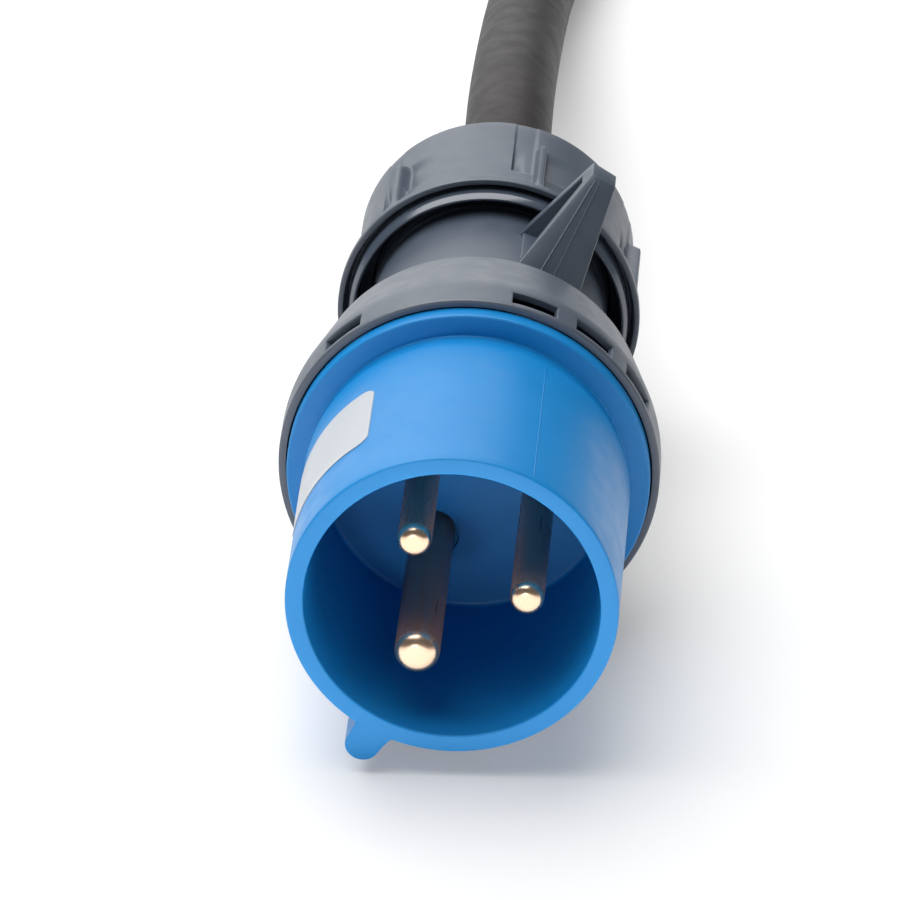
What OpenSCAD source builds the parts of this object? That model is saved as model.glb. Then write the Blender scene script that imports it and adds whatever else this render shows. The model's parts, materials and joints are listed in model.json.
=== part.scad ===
// Round three-pole power plug with a screwed cable gland, on a short rubber lead with an in-line connector.
// Millimetres. +Z is up, the plug's axis lies along Y and its mating face looks towards -Y.
// The origin is on the floor, below the middle of the plug.

/* [Shroud] */
// Outer radius of the shroud
shroud_r = 29; // [25:0.5:34]
// Wall of the shroud
shroud_wall = 3.2; // [2:0.1:4]
// Depth from the rim to the inner floor
shroud_depth = 46.8; // [40:0.2:56]
// Thickness of the floor that carries the pins
floor_t = 7.2; // [6:0.2:10]
// Chamfer on the edges of the rim
rim_edge = 0.4; // [0.2:0.1:1]

/* [Key] */
// Angle of the key and of the earth pin about the axis, from +X towards +Z
key_angle = 241; // [200:1:340]
// Radius of the key
key_r = 3.5; // [2.5:0.1:4.5]
// Distance of the key's centre outside the shroud
key_out = 2.2; // [1:0.1:3]

/* [Flange] */
// How far the flange stands out from the shroud
flange_reach = 4.1; // [3:0.1:6]
// Thickness of the flange
flange_t = 3.2; // [2.5:0.1:5]
// Bevel on the flange's front edge
flange_bevel = 1.1; // [0.4:0.1:1.5]
// Fillet between the shroud and the flange
flange_fillet = 1.8; // [0.8:0.1:2]
// Distance of the flange's front behind the inner floor
flange_setback = 0.5; // [0:0.1:2]
// Outer radius of the spigot behind the flange
spigot_r = 27; // [25:0.2:28]
// Wall of the spigot
spigot_wall = 3.5; // [2.5:0.1:4.5]
// Length of the spigot behind the floor
spigot_len = 8; // [7:0.2:11]
// Reach of the bayonet lugs outside the spigot
lug_reach = 3.2; // [2:0.1:3.5]
// Length of a bayonet lug along the axis
lug_len = 2.8; // [2:0.1:4]
// Width of a bayonet lug, degrees
lug_arc = 24; // [12:1:40]

/* [Pins] */
// Radius of the earth pin
earth_pin_r = 4; // [3:0.1:5]
// Radius of the line and neutral pins
pole_pin_r = 3; // [2.5:0.1:4]
// Radius of the circle that the pins stand on
pin_circle_r = 12.9; // [11.5:0.1:14]
// Distance of the pin tips behind the rim
pin_recess = 2; // [0.5:0.1:8]
// Rounding of a pin tip, as a share of the pin's radius
tip_share = 0.62; // [0.3:0.02:0.9]
// Step from the pin down to its shank in the floor
shank_step = 0.6; // [0.3:0.1:1]
// Gap between a pin and the recess round its foot
foot_gap = 0.8; // [0.4:0.1:1.2]
// Depth of the recess round a pin's foot
foot_depth = 1.5; // [0.5:0.1:3]

/* [Terminals] */
// How far the collar stands out from the barrel
collar_reach = 1.1; // [0.7:0.1:1.5]
// Thickness of the collar
collar_t = 2.5; // [1.5:0.1:4]
// Radius of the terminal barrel
barrel_r = 5.4; // [4.8:0.1:6]
// Length of the terminal barrel behind the collar
barrel_len = 19.5; // [17:0.5:22]
// Radius of the wire hole in a barrel
wire_hole_r = 2.6; // [2.3:0.1:3]
// Depth of the wire hole
wire_hole_len = 12; // [10:0.5:13]
// Radius of a terminal screw
screw_r = 1.8; // [1.4:0.1:2]
// How far a terminal screw stands out of its barrel
screw_proud = 1.4; // [0.5:0.1:2]
// Distance between the two screws of a barrel
screw_pitch = 5; // [4.5:0.1:6]
// Thickness of the plate that holds the pins
retainer_t = 4; // [2.5:0.1:5]
// Radius of the shank of the screw that holds the plate
retainer_screw_r = 1.5; // [1.2:0.1:2]
// Length of that screw's shank
retainer_screw_len = 9; // [8:0.2:11]

/* [Rear housing] */
// Grey lip that shows round the flange
band_lip = 0.9; // [0.6:0.1:2]
// Length of the band round the flange
band_len = 8.4; // [8:0.2:12]
// How far the flange sits in the band
rebate_depth = 1.2; // [0.6:0.1:2]
// Length of the tapered drum behind the band
drum_len = 17.3; // [12:0.1:20]
// Radius of the drum at its rear edge
drum_r = 30; // [28:0.1:32]
// Length of the shoulder between the drum and the neck
shoulder_len = 11.5; // [9:0.1:16]
// Radius of the neck
neck_r = 22; // [21.9:0.1:23.5]
// Length of the neck
neck_len = 18.8; // [16:0.2:24]
// Outer radius of the gland thread
thread_r = 21.7; // [20.5:0.1:21.8]
// Length of the gland thread
thread_len = 20.7; // [18:0.1:26]
// Wall of the housing
housing_wall = 2.8; // [2:0.1:3.2]
// Wall of the threaded tube
thread_wall = 3.5; // [2.5:0.1:4]

/* [Windows] */
// Angle of the first of the three windows in a row
window_first = 28; // [10:1:40]
// Angle from one window of the row to the next
window_pitch = 21; // [18:1:24]
// Width of a window
window_w = 8.2; // [5:0.1:9]
// Length of a window along the axis
window_len = 3.9; // [2.5:0.1:4.4]
// Distance of a window behind the band's front edge
window_setback = 2.2; // [1.6:0.1:3]

/* [Latch arm] */
// Angle of the arm about the axis
arm_angle = 56.5; // [40:0.5:140]
// Width of the arm at its foot
arm_foot_w = 12.4; // [8:0.2:14]
// Width of the arm at its tip
arm_tip_w = 5; // [3:0.1:8]
// Radius at which the arm's tip ends
arm_tip_r = 38.8; // [32:0.2:40]
// Distance of the arm's foot behind the shoulder
arm_setback = 2; // [0.5:0.1:3]
// Length of the arm's foot along the neck
arm_foot_len = 14.9; // [12:0.1:15.5]
// Distance that the tip leans back from the front of the foot
arm_lean = 13.7; // [8:0.1:14]
// Length of the tip along the axis
arm_tip_len = 4.8; // [3:0.1:6]
// Thickness of the arm's two plates
arm_plate = 1.7; // [1.2:0.1:2.2]
// Height of the pad under the arm above the neck
arm_pad = 0.9; // [0.4:0.1:1.5]
// Width and depth of the two lines along the front plate
arm_line = 0.4; // [0.2:0.1:0.6]

/* [Gland] */
// Depth of the seat for the seal, from the end of the thread
seat_depth = 13.5; // [12:0.1:16]
// Thickness of the ledge in front of the seat
ledge_t = 3; // [2:0.1:4]
// Radius of the hole in the ledge
ledge_hole_r = 10; // [9.6:0.1:11]
// Length of the seal
seal_len = 11; // [8:0.1:11.5]
// Length of the clamp cage
cage_len = 9.2; // [8:0.1:11]
// Length of the ring at the root of the cage
cage_root = 2.8; // [2:0.1:4]
// Number of slots in the clamp cage
cage_slots = 8; // [5:1:12]
// Width of a slot in the clamp cage
cage_slot_w = 2; // [1:0.1:2.5]
// Thickness of the slip washer
washer_t = 1.2; // [0.8:0.1:2]

/* [Gland nut] */
// Radius of the nut's body
nut_r = 25.4; // [25:0.1:27]
// Radius of the flared skirt
skirt_r = 27.8; // [27.2:0.1:29]
// Length of the skirt's straight rim
skirt_rim = 1.6; // [0.8:0.1:2.5]
// Length of the flare behind the skirt's rim
flare_len = 5.3; // [4:0.1:7]
// Width of the skirt's front edge
skirt_wall = 1; // [0.8:0.1:1.2]
// Width of the inner lip
lip_wall = 1.2; // [0.8:0.1:1.4]
// Depth of the groove between the skirt and the lip
groove_depth = 3; // [2:0.1:3.5]
// Width of the groove between the skirt and the lip
groove_w = 1.1; // [0.8:0.1:1.3]
// How far the lip stands in front of the skirt
lip_proud = 2.4; // [0:0.1:3]
// Gap between the neck and the lip
nut_gap = 2.9; // [1:0.1:5]
// Thickness of the nut's end wall
nut_end_t = 5.5; // [4:0.1:8]
// Rounding of the nut's rear edge
nut_round = 0.8; // [0.5:0.1:2.5]
// Distance of the grips behind the flare
grip_setback = 2.9; // [1:0.1:3.5]
// Length of the grips
grip_len = 10.6; // [8:0.1:12]
// Number of grips round the nut
grip_count = 6; // [4:1:8]
// Angle of the first grip's rib
grip_phase = 11; // [0:1:59]
// Radius of the crest of a rib
rib_r = 27.6; // [26.6:0.1:27.7]
// Thickness of a rib
rib_t = 1.4; // [0.8:0.1:2]
// Length of the slope at a rib's rear end
rib_slope = 2.2; // [1:0.1:3]
// Width of the channel beside a rib
channel_w = 3.8; // [2.4:0.1:4.2]
// Depth of the channel at its front end
channel_depth = 1; // [0.6:0.1:1.4]
// Depth of the channel at the nut's rear end
channel_end = 0.35; // [0.2:0.05:0.5]
// Width of the hollow on a rib's other side, degrees
hollow_arc = 13.5; // [8:0.5:16]
// Depth of the hollow at the rib
hollow_depth = 0.8; // [0.4:0.1:1.2]

/* [Cable] */
// Radius of the cable
cable_r = 8.3; // [7:0.1:8.6]
// Radius of an insulated core
core_r = 2.35; // [2:0.05:2.4]
// Radius of the circle that the cores lie on in the cable
core_circle_r = 2.9; // [2.8:0.1:3.2]
// Radius of a wire's end sleeve
ferrule_r = 2.1; // [1.6:0.1:2.2]

/* [Label] */
// Angle of the middle of the label
label_angle = 147; // [100:1:170]
// Width of the label across the shroud
label_w = 24.4; // [16:0.2:28]
// Length of the label along the axis
label_len = 20; // [12:0.2:28]
// Distance of the label behind the rim
label_setback = 14; // [4:0.2:16]
// Radius of the label's corners
label_corner = 2.4; // [1:0.1:4]
// Thickness of the label
label_t = 0.15; // [0.1:0.01:0.3]

/* [In-line connector] */
// Width and height of the connector's housing
con_w = 44; // [42:0.5:48]
// Length of the housing
con_len = 46; // [42:0.5:60]
// Radius of the housing's long edges
con_corner = 8; // [4:0.5:10]
// Bevel at the ends of the housing
con_bevel = 2.5; // [1:0.1:4]
// Thickness of the housing's end wall
con_end_t = 6; // [4:0.2:7]
// Depth of the wiring chamber behind the insert
con_chamber = 18; // [16:0.2:20]
// Radius of the insert
insert_r = 15; // [14:0.1:15.5]
// Length of the insert
insert_len = 38; // [34:0.2:42]
// Outer radius of the front spigot
con_spigot_r = 18; // [17.6:0.1:18.4]
// Length of the front spigot
con_spigot_len = 12; // [11:0.1:15]
// Outer radius of the coupling ring
ring_r = 21.6; // [20.8:0.1:21.8]
// Length of the coupling ring
ring_len = 23; // [20:0.2:28]
// Length of the ring's inner shoulder
ring_shoulder = 7; // [5:0.1:8]
// Wall of the ring in front of its shoulder
ring_wall = 1.7; // [1.2:0.1:1.8]
// Number of flutes round the ring
ring_flutes = 20; // [12:1:28]
// Radius of a flute
flute_r = 1.5; // [0.8:0.1:1.8]
// Thickness of the spring clip
clip_t = 1.2; // [0.8:0.1:1.6]
// Depth of the clip's groove
clip_groove = 1; // [0.6:0.1:1.4]
// Radial height of the clip
clip_h = 2.1; // [1.6:0.1:2.4]
// Gap between the clip's two ends, degrees
clip_gap = 40; // [20:1:70]
// Radius of a socket contact
socket_r = 3.4; // [3:0.1:3.8]
// Radius of the hole in a socket contact
socket_hole_r = 2; // [1.5:0.1:2.2]
// Length of a socket contact in front of its barrel
socket_len = 34; // [30:0.2:36]
// Radius of the circle that the sockets stand on
socket_circle_r = 8; // [7.5:0.1:9]
// Radius of a socket's barrel
socket_barrel_r = 4; // [3.6:0.1:4.2]
// Length of a socket's barrel
socket_barrel_len = 9; // [8:0.2:10]
// Length of the strain boot behind the housing
boot_len = 34; // [24:1:50]
// Radius of the boot at the housing
boot_r = 13.6; // [12:0.1:15]
// Radius of the boot at its thin end
boot_tip_r = 10.6; // [10:0.1:11.5]
// Number of flex grooves in the boot
boot_grooves = 5; // [3:1:6]

/* [Fits] */
// Gap between pieces that move on each other
run_gap = 0.3; // [0.2:0.05:0.5]
// Gap between fixed pieces that fit into each other
fit_gap = 0.1; // [0.05:0.05:0.2]

/* [Hidden] */
$fn = 96;

// Small overlap that joins two shapes of one solid
bite = 0.5;
// Extra length that carries a cut past a face
past = 1;

// Radii of the plug
mouth_r = shroud_r - shroud_wall;
flange_r = shroud_r + flange_reach;
rebate_r = flange_r + run_gap;
band_r = flange_r + band_lip;
band_in_r = band_r - housing_wall;
seat_r = thread_r - thread_wall;
retainer_r = spigot_r - spigot_wall - run_gap;

// Places along the axis, measured back from the rim
floor_y = shroud_depth;
floor_back = floor_y + floor_t;
flange_y = floor_y + flange_setback;
flange_back = flange_y + flange_t;
spigot_back = floor_back + spigot_len;
lug_back = spigot_back - 0.7;
lug_front = lug_back - lug_len;
collar_back = floor_back + collar_t;
retainer_back = collar_back + retainer_t;
barrel_back = collar_back + barrel_len;
band_front = flange_back - rebate_depth;
band_back = band_front + band_len;
drum_back = band_back + drum_len;
neck_front = drum_back + shoulder_len;
neck_back = neck_front + neck_len;
thread_back = neck_back + thread_len;
ledge_back = thread_back - seat_depth;
ledge_front = ledge_back - ledge_t;
seal_back = ledge_back + seal_len;
cage_back = seal_back + cage_len;
washer_front = cage_back + run_gap;
washer_back = washer_front + washer_t;
nut_wall_y = washer_back + run_gap;
nut_back = nut_wall_y + nut_end_t;
lip_front = neck_back + nut_gap;
skirt_front = lip_front + lip_proud;
flare_front = skirt_front + skirt_rim;
flare_back = flare_front + flare_len;
grip_front = flare_back + grip_setback;
grip_back = grip_front + grip_len;
plug_len = nut_back;

// A row of three windows and three single ones round the band
window_angles = concat([for (i = [0:2]) window_first + i * window_pitch], [132, 228, 310]);

// Bayonet lips in the housing sit in front of the carrier's lugs
bayonet_angles = [100, 220, 340];
bayonet_lip_back = lug_front - run_gap;
gasket_back = band_front + window_setback + window_len + 0.3;

// Pins by name
line_angle = key_angle - 120;
neutral_angle = key_angle + 120;
pin_angles = [key_angle, line_angle, neutral_angle];
pin_radii = [earth_pin_r, pole_pin_r, pole_pin_r];

// Screws stand in the two places of each barrel, counted from its open end
screw_places = [for (i = [0:1]) barrel_back - 4 - i * screw_pitch];

// Nut
nut_bore_r = thread_r + run_gap;
lip_r = skirt_r - skirt_wall - groove_w;
cable_hole_r = cable_r + 1.1;

// Route of the cable's centre line, chosen by hand
route = [
    [0, 42, 34], [0, 70, 34], [-0.3, 98, 34], [-0.7, 118, 33.4], [-1.1, 138, 31.4], [-1.3, 158, 28.2],
    [-1.4, 178, 24.4], [-1.4, 198, 20.2], [-1.1, 218, 16], [0, 238, 12.4], [2.2, 258, 9.9], [5.4, 278, 8.7],
    [9.4, 298, 9], [13.4, 318, 11.6], [16.8, 338, 16], [19.2, 358, 20.2], [20, 378, 22], [20, 398, 22],
    [20, 416, 22]
];
tube_sides = 12;
wire_steps = 10;
jacket_front = route[0].y + plug_len / 2;

// In-line connector, measured from the cable side of its housing
con_place = [route[len(route) - 1].x, route[len(route) - 1].y - 4, con_w / 2];
insert_back = con_end_t + con_chamber;
insert_front = insert_back + insert_len;
con_spigot_front = con_len + con_spigot_len;
ring_back = con_len + run_gap;
ring_step = ring_back + ring_shoulder;
ring_front = ring_back + ring_len;
clip_back = ring_step + run_gap;
clip_front = clip_back + clip_t;
socket_front = insert_back + socket_len;
socket_angles = [key_angle, line_angle, neutral_angle];
socket_back = insert_back - socket_barrel_len;
boot_neck_r = cable_r + 2.5;
boot_hole_r = cable_r + fit_gap / 2;

// Inner radius of the label, on a thin layer of glue
label_r = shroud_r + 0.02;

// Colours
blue = [0.10, 0.42, 0.80];
grey = [0.27, 0.29, 0.32];
black = [0.07, 0.07, 0.08];
brass = [0.80, 0.62, 0.32];
steel = [0.72, 0.73, 0.75];
white = [0.93, 0.93, 0.92];
brown = [0.36, 0.21, 0.12];
core_blue = [0.16, 0.36, 0.66];
core_green = [0.45, 0.66, 0.18];

// Shared shapes

// Places the plug with its rim towards -Y, standing on its band
module plug_frame() translate([0, -plug_len / 2, band_r]) children();

module connector_frame() translate(con_place) children();

// Turns an upright shape so that its height runs back along the axis
module along_y() rotate([-90, 0, 0]) children();

// Turns a shape about the axis, from +X towards +Z
module at_angle(a) rotate([0, -a, 0]) children();

// Solid of revolution about the axis, from a profile of radius and depth
module turned(angle = 360) along_y() rotate([0, 0, -angle / 2]) rotate_extrude(angle = angle) children();

// Rectangle of a turned profile
module span(r0, r1, y0, y1) translate([r0, y0]) square([r1 - r0, y1 - y0]);

module rod(r, y0, y1) translate([0, y0, 0]) along_y() cylinder(r = r, h = y1 - y0);

// Rod that stands out radially at depth y, from radius r0 to r1
module spoke(r, y, r0, r1) translate([r0, y, 0]) rotate([0, 90, 0]) cylinder(r = r, h = r1 - r0);

// Block at a radius: radial, axial and tangential sizes
module block(r0, r1, y0, y1, w) translate([r0, y0, -w / 2]) cube([r1 - r0, y1 - y0, w]);

// Rectangle with round corners, centred
module round_rect(w, h, r) {
    square([w - 2 * r, h], center = true);
    square([w, h - 2 * r], center = true);
    for (sx = [-1, 1], sy = [-1, 1])
        translate([sx * (w / 2 - r), sy * (h / 2 - r)])
            circle(r = r);
}

// Ring of points round a place on a path, square to its direction
function heading(path, i) = path[min(i + 1, len(path) - 1)] - path[max(i - 1, 0)];
function unit(v) = v / norm(v);
function side_of(path, i) = unit(cross(heading(path, i), [0, 0, 1]));
function up_of(path, i) = unit(cross(side_of(path, i), heading(path, i)));
function ring_points(path, i, r) = [
    for (k = [0:tube_sides - 1])
        let (t = 360 * k / tube_sides)
            path[i] + r * (cos(t) * side_of(path, i) + sin(t) * up_of(path, i))
];
function corner(i, k) = i * tube_sides + k % tube_sides;

// Closed round tube along a path
module tube(path, r) {
    last = len(path) - 1;
    polyhedron(
        points = [for (i = [0:last]) each ring_points(path, i, r)],
        faces = concat(
            [[for (k = [0:tube_sides - 1]) corner(0, tube_sides - 1 - k)]],
            [[for (k = [0:tube_sides - 1]) corner(last, k)]],
            [for (i = [0:last - 1], k = [0:tube_sides - 1])
                [corner(i, k), corner(i, k + 1), corner(i + 1, k + 1)]],
            [for (i = [0:last - 1], k = [0:tube_sides - 1])
                [corner(i, k), corner(i + 1, k + 1), corner(i + 1, k)]]
        )
    );
}

// Path of a wire that leads smoothly from radius r0 to radius r1 between the depths y1 and y2
function ease(t) = t * t * (3 - 2 * t);
function wire_path(r0, r1, y0, y1, y2, y3) = concat(
    [[r0, y0, 0]],
    [for (i = [0:wire_steps]) [r0 + (r1 - r0) * ease(i / wire_steps), y1 + (y2 - y1) * i / wire_steps, 0]],
    [[r1, y3, 0]]
);

// Plug pieces

module carrier_profile() {
    difference() {
        union() {
            span(0, shroud_r, rim_edge, flange_back);
            span(mouth_r + rim_edge, shroud_r - rim_edge, 0, rim_edge);
            polygon([[shroud_r - rim_edge, 0], [shroud_r, rim_edge], [shroud_r - rim_edge, rim_edge]]);
            polygon([
                [shroud_r - bite, flange_y], [flange_r - flange_bevel, flange_y],
                [flange_r, flange_y + flange_bevel], [flange_r, flange_back], [shroud_r - bite, flange_back]
            ]);
            difference() {
                span(shroud_r - bite, shroud_r + flange_fillet, flange_y - flange_fillet, flange_y + bite);
                translate([shroud_r + flange_fillet, flange_y - flange_fillet]) circle(r = flange_fillet);
            }
            span(0, spigot_r, flange_back - bite, spigot_back);
        }
        span(0, mouth_r, -past, floor_y);
        polygon([
            [mouth_r - bite, -past], [mouth_r + rim_edge + past, -past], [mouth_r, rim_edge],
            [mouth_r - bite, rim_edge]
        ]);
        span(0, spigot_r - spigot_wall, floor_back, spigot_back + past);
    }
    span(0, retainer_screw_r + 2.5, floor_back - bite, collar_back);
}

module contact_carrier() color(blue) plug_frame() difference() {
    union() {
        turned() carrier_profile();
        at_angle(key_angle) translate([shroud_r + key_out, 0, 0]) rod(key_r, 0, flange_y + bite);
        for (a = bayonet_angles)
            at_angle(a) turned(lug_arc) span(spigot_r - bite, spigot_r + lug_reach, lug_front, lug_back);
    }
    turned() span(0, mouth_r, rim_edge, floor_y);
    for (i = [0:2])
        at_angle(pin_angles[i]) translate([pin_circle_r, 0, 0]) {
            rod(pin_radii[i] - shank_step + fit_gap, floor_y - past, floor_back + past);
            rod(pin_radii[i] + foot_gap, floor_y - past, floor_y + foot_depth);
        }
    rod(retainer_screw_r + fit_gap, retainer_back - retainer_screw_len - past, collar_back + past);
}

module label() color(white) plug_frame() at_angle(label_angle) intersection() {
    turned(120)
        span(label_r, label_r + label_t, label_setback - past, label_setback + label_len + past);
    translate([shroud_r / 2, label_setback + label_len / 2, 0]) rotate([0, 90, 0])
        linear_extrude(height = shroud_r) round_rect(label_w, label_len, label_corner);
}

module flange_gasket() color(black) plug_frame() turned()
    span(spigot_r + fit_gap, band_in_r - run_gap, flange_back, gasket_back);

// Turned contact: round tip, shaft, shank, collar and a drilled barrel
module pin(angle, r) {
    tip = tip_share * r;
    color(brass) plug_frame() at_angle(angle) difference() {
        translate([pin_circle_r, 0, 0]) {
            turned() {
                span(0, r, pin_recess + tip, floor_y + foot_depth);
                span(0, r - tip, pin_recess, pin_recess + tip + bite);
                intersection() {
                    translate([r - tip, pin_recess + tip]) circle(r = tip);
                    span(0, r, pin_recess, pin_recess + tip + bite);
                }
                span(0, r - shank_step, floor_y, floor_back + bite);
                span(0, barrel_r + collar_reach, floor_back, collar_back);
                span(0, barrel_r, collar_back - bite, barrel_back);
            }
        }
        translate([pin_circle_r, 0, 0]) rod(wire_hole_r, barrel_back - wire_hole_len, barrel_back + past);
        for (y = screw_places)
            spoke(screw_r + fit_gap, y, pin_circle_r, pin_circle_r + barrel_r + past);
    }
}

module earth_pin() pin(key_angle, earth_pin_r);

module line_pin() pin(line_angle, pole_pin_r);

module neutral_pin() pin(neutral_angle, pole_pin_r);

// Grub screw with a driver slot, pointing inwards
module clamp_screw(r, y, r0, r1) difference() {
    spoke(r, y, r0, r1);
    block(r1 - 1.2, r1 + past, y - 0.4, y + 0.4, 2 * r + past);
}

module terminal_screws() color(steel) plug_frame()
    for (a = pin_angles, y = screw_places)
        at_angle(a)
            clamp_screw(screw_r, y, pin_circle_r + ferrule_r, pin_circle_r + barrel_r + screw_proud);

module pin_retainer() color(grey) plug_frame() difference() {
    turned() span(retainer_screw_r + fit_gap, retainer_r, collar_back, retainer_back);
    for (a = pin_angles)
        at_angle(a) translate([pin_circle_r, 0, 0])
            rod(barrel_r + run_gap, collar_back - past, retainer_back + past);
}

module retainer_screw() color(steel) plug_frame() difference() {
    turned() {
        span(0, retainer_screw_r, retainer_back - retainer_screw_len, retainer_back + bite);
        span(0, 2 * retainer_screw_r + 0.4, retainer_back, retainer_back + 1.4 * retainer_screw_r);
    }
    for (w = [[0.8, 4], [4, 0.8]])
        translate([-w.x / 2, retainer_back + 0.6 * retainer_screw_r, -w.y / 2])
            cube([w.x, past + retainer_screw_r, w.y]);
}

module wire_ferrules() color(steel) plug_frame()
    for (a = pin_angles)
        at_angle(a) translate([pin_circle_r, 0, 0])
            rod(ferrule_r, barrel_back - wire_hole_len, barrel_back + past);

module core(angle, tint) color(tint) plug_frame() at_angle(angle) tube(
    wire_path(
        pin_circle_r, core_circle_r, barrel_back + past, barrel_back + 4, ledge_front - 3, jacket_front
    ),
    core_r
);

module line_core() core(line_angle, brown);

module neutral_core() core(neutral_angle, core_blue);

module earth_core() core(key_angle, core_green);

// Housing pieces

module housing_outer() {
    edge = 0.4;
    polygon([
        [0, band_front], [band_r - edge, band_front], [band_r, band_front + edge], [band_r, band_back],
        [drum_r, drum_back - edge], [drum_r - edge, drum_back], [neck_r, neck_front],
        [neck_r, neck_back - edge / 2], [neck_r - edge / 2, neck_back], [thread_r, neck_back],
        [thread_r, thread_back - edge], [thread_r - edge, thread_back], [0, thread_back]
    ]);
}

module housing_inner() {
    chamber_r = neck_r - housing_wall;
    inset = 0.4 * housing_wall;
    span(0, rebate_r, band_front - past, flange_back);
    polygon([
        [0, flange_back - bite], [band_in_r, flange_back - bite], [band_in_r, band_back],
        [drum_r - housing_wall, drum_back - inset], [chamber_r, neck_front - inset],
        [seat_r, neck_front + 6], [seat_r, ledge_front], [0, ledge_front]
    ]);
    span(0, ledge_hole_r, ledge_front - past, ledge_back + past);
    span(0, seat_r, ledge_back, thread_back + past);
}

// Hollow wedge of two plates that meet at the tip, narrowing towards the tip
module latch_arm() {
    foot_y = neck_front + arm_setback;
    foot_r = neck_r - bite;
    pad_r = neck_r + arm_pad;
    tip_y = foot_y + arm_lean;
    tip_back = tip_y + arm_tip_len;
    foot_back = foot_y + arm_foot_len;
    rise = arm_tip_r - foot_r;
    front_t = arm_plate * norm([rise, arm_lean]) / rise;
    hole_top = arm_tip_r - 1.6 * arm_plate;
    front_at = function(r) foot_y + front_t + arm_lean * (r - foot_r) / rise;
    back_at = function(r) foot_back - arm_plate + (tip_back - foot_back) * (r - foot_r) / rise;
    slope = atan2(arm_lean, rise);
    at_angle(arm_angle) difference() {
        intersection() {
            union() {
                translate([0, 0, -arm_foot_w / 2])
                    linear_extrude(height = arm_foot_w)
                        polygon([
                            [foot_r, foot_y], [arm_tip_r, tip_y], [arm_tip_r, tip_back], [foot_r, foot_back]
                        ]);
                block(foot_r - 2 * bite, pad_r, foot_y, foot_back, arm_foot_w);
            }
            translate([0, foot_y - past, 0]) along_y() linear_extrude(height = 2 * arm_foot_len)
                polygon([
                    [foot_r - 3 * bite, -arm_foot_w / 2], [pad_r, -arm_foot_w / 2],
                    [arm_tip_r, -arm_tip_w / 2], [arm_tip_r, arm_tip_w / 2],
                    [pad_r, arm_foot_w / 2], [foot_r - 3 * bite, arm_foot_w / 2]
                ]);
        }
        translate([0, 0, -arm_foot_w]) linear_extrude(height = 2 * arm_foot_w)
            polygon([
                [pad_r, front_at(pad_r)], [hole_top, front_at(hole_top)], [hole_top, back_at(hole_top)],
                [pad_r, back_at(pad_r)]
            ]);
        for (side = [-1, 1])
            translate([pad_r, foot_y + (pad_r - foot_r) * arm_lean / rise, side * arm_tip_w / 4])
                rotate([0, 0, slope]) translate([0.4, -arm_line / 2, -arm_line / 2])
                    cube([2 * rise, arm_line, arm_line]);
    }
}

module rear_housing() color(grey) plug_frame() {
    difference() {
        turned() difference() {
            housing_outer();
            housing_inner();
        }
        for (a = window_angles)
            at_angle(a) block(
                band_in_r - past, band_r + past, band_front + window_setback,
                band_front + window_setback + window_len, window_w
            );
    }
    for (a = bayonet_angles)
        at_angle(a) turned(lug_arc)
            span(spigot_r + 2 * run_gap, band_in_r + bite, gasket_back, bayonet_lip_back);
    difference() {
        latch_arm();
        turned() span(0, neck_r - 2 * bite, neck_front, neck_back + past);
    }
}

module gland_seal() color(black) plug_frame() turned()
    span(cable_r + fit_gap / 2, seat_r - fit_gap, ledge_back, seal_back);

module clamp_cage() color(grey) plug_frame() difference() {
    cage_in = cable_r + 3 * fit_gap;
    turned() polygon([
        [cage_in, seal_back], [seat_r - fit_gap, seal_back], [seat_r - fit_gap, seal_back + cage_root],
        [seat_r - 5, cage_back], [cage_in, cage_back]
    ]);
    for (i = [0:cage_slots - 1])
        at_angle(360 * i / cage_slots)
            block(cage_in - past, seat_r, seal_back + cage_root, cage_back + past, cage_slot_w);
}

module slip_washer() color(steel) plug_frame() turned()
    span(cable_hole_r, seat_r + 1, washer_front, washer_back);

// Nut pieces

module nut_outer() {
    flare_w = skirt_r - nut_r;
    flare_round = (flare_w * flare_w + flare_len * flare_len) / (2 * flare_w);
    span(0, nut_r, skirt_front, nut_back - nut_round);
    span(0, nut_r - nut_round, nut_back - nut_round - bite, nut_back);
    translate([nut_r - nut_round, nut_back - nut_round]) circle(r = nut_round);
    span(nut_r - bite, skirt_r, skirt_front, flare_front);
    difference() {
        span(nut_r - bite, skirt_r, flare_front - bite, flare_back);
        translate([nut_r + flare_round, flare_back]) circle(r = flare_round);
    }
    span(lip_r - lip_wall, lip_r, lip_front + lip_wall / 2, skirt_front + groove_depth + bite);
    translate([lip_r - lip_wall / 2, lip_front + lip_wall / 2]) circle(r = lip_wall / 2);
}

module nut_inner() {
    polygon([
        [lip_r, skirt_front - past], [lip_r + groove_w, skirt_front - past], [lip_r + groove_w, skirt_front],
        [lip_r + 0.3 * groove_w, skirt_front + groove_depth], [lip_r, skirt_front + groove_depth]
    ]);
    span(0, lip_r - lip_wall, lip_front - past, skirt_front + groove_depth);
    span(0, nut_bore_r, lip_front, nut_wall_y);
    span(0, cable_hole_r, nut_wall_y - past, nut_back + past);
}

// Section of the hollow beside a rib: its floor falls towards the rib
module hollow_section(a) {
    near = 1.6;
    points = [
        [nut_r + 0.1, a + near + hollow_arc], [nut_r - hollow_depth, a + near], [nut_r + past, a + near],
        [nut_r + past, a + near + hollow_arc]
    ];
    polygon([for (p = points) p[0] * [cos(p[1]), sin(p[1])]]);
}

// Plate in the plane of the axis, from a profile of radius and depth
module fin(w) translate([0, 0, -w / 2]) linear_extrude(height = w) children();

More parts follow.
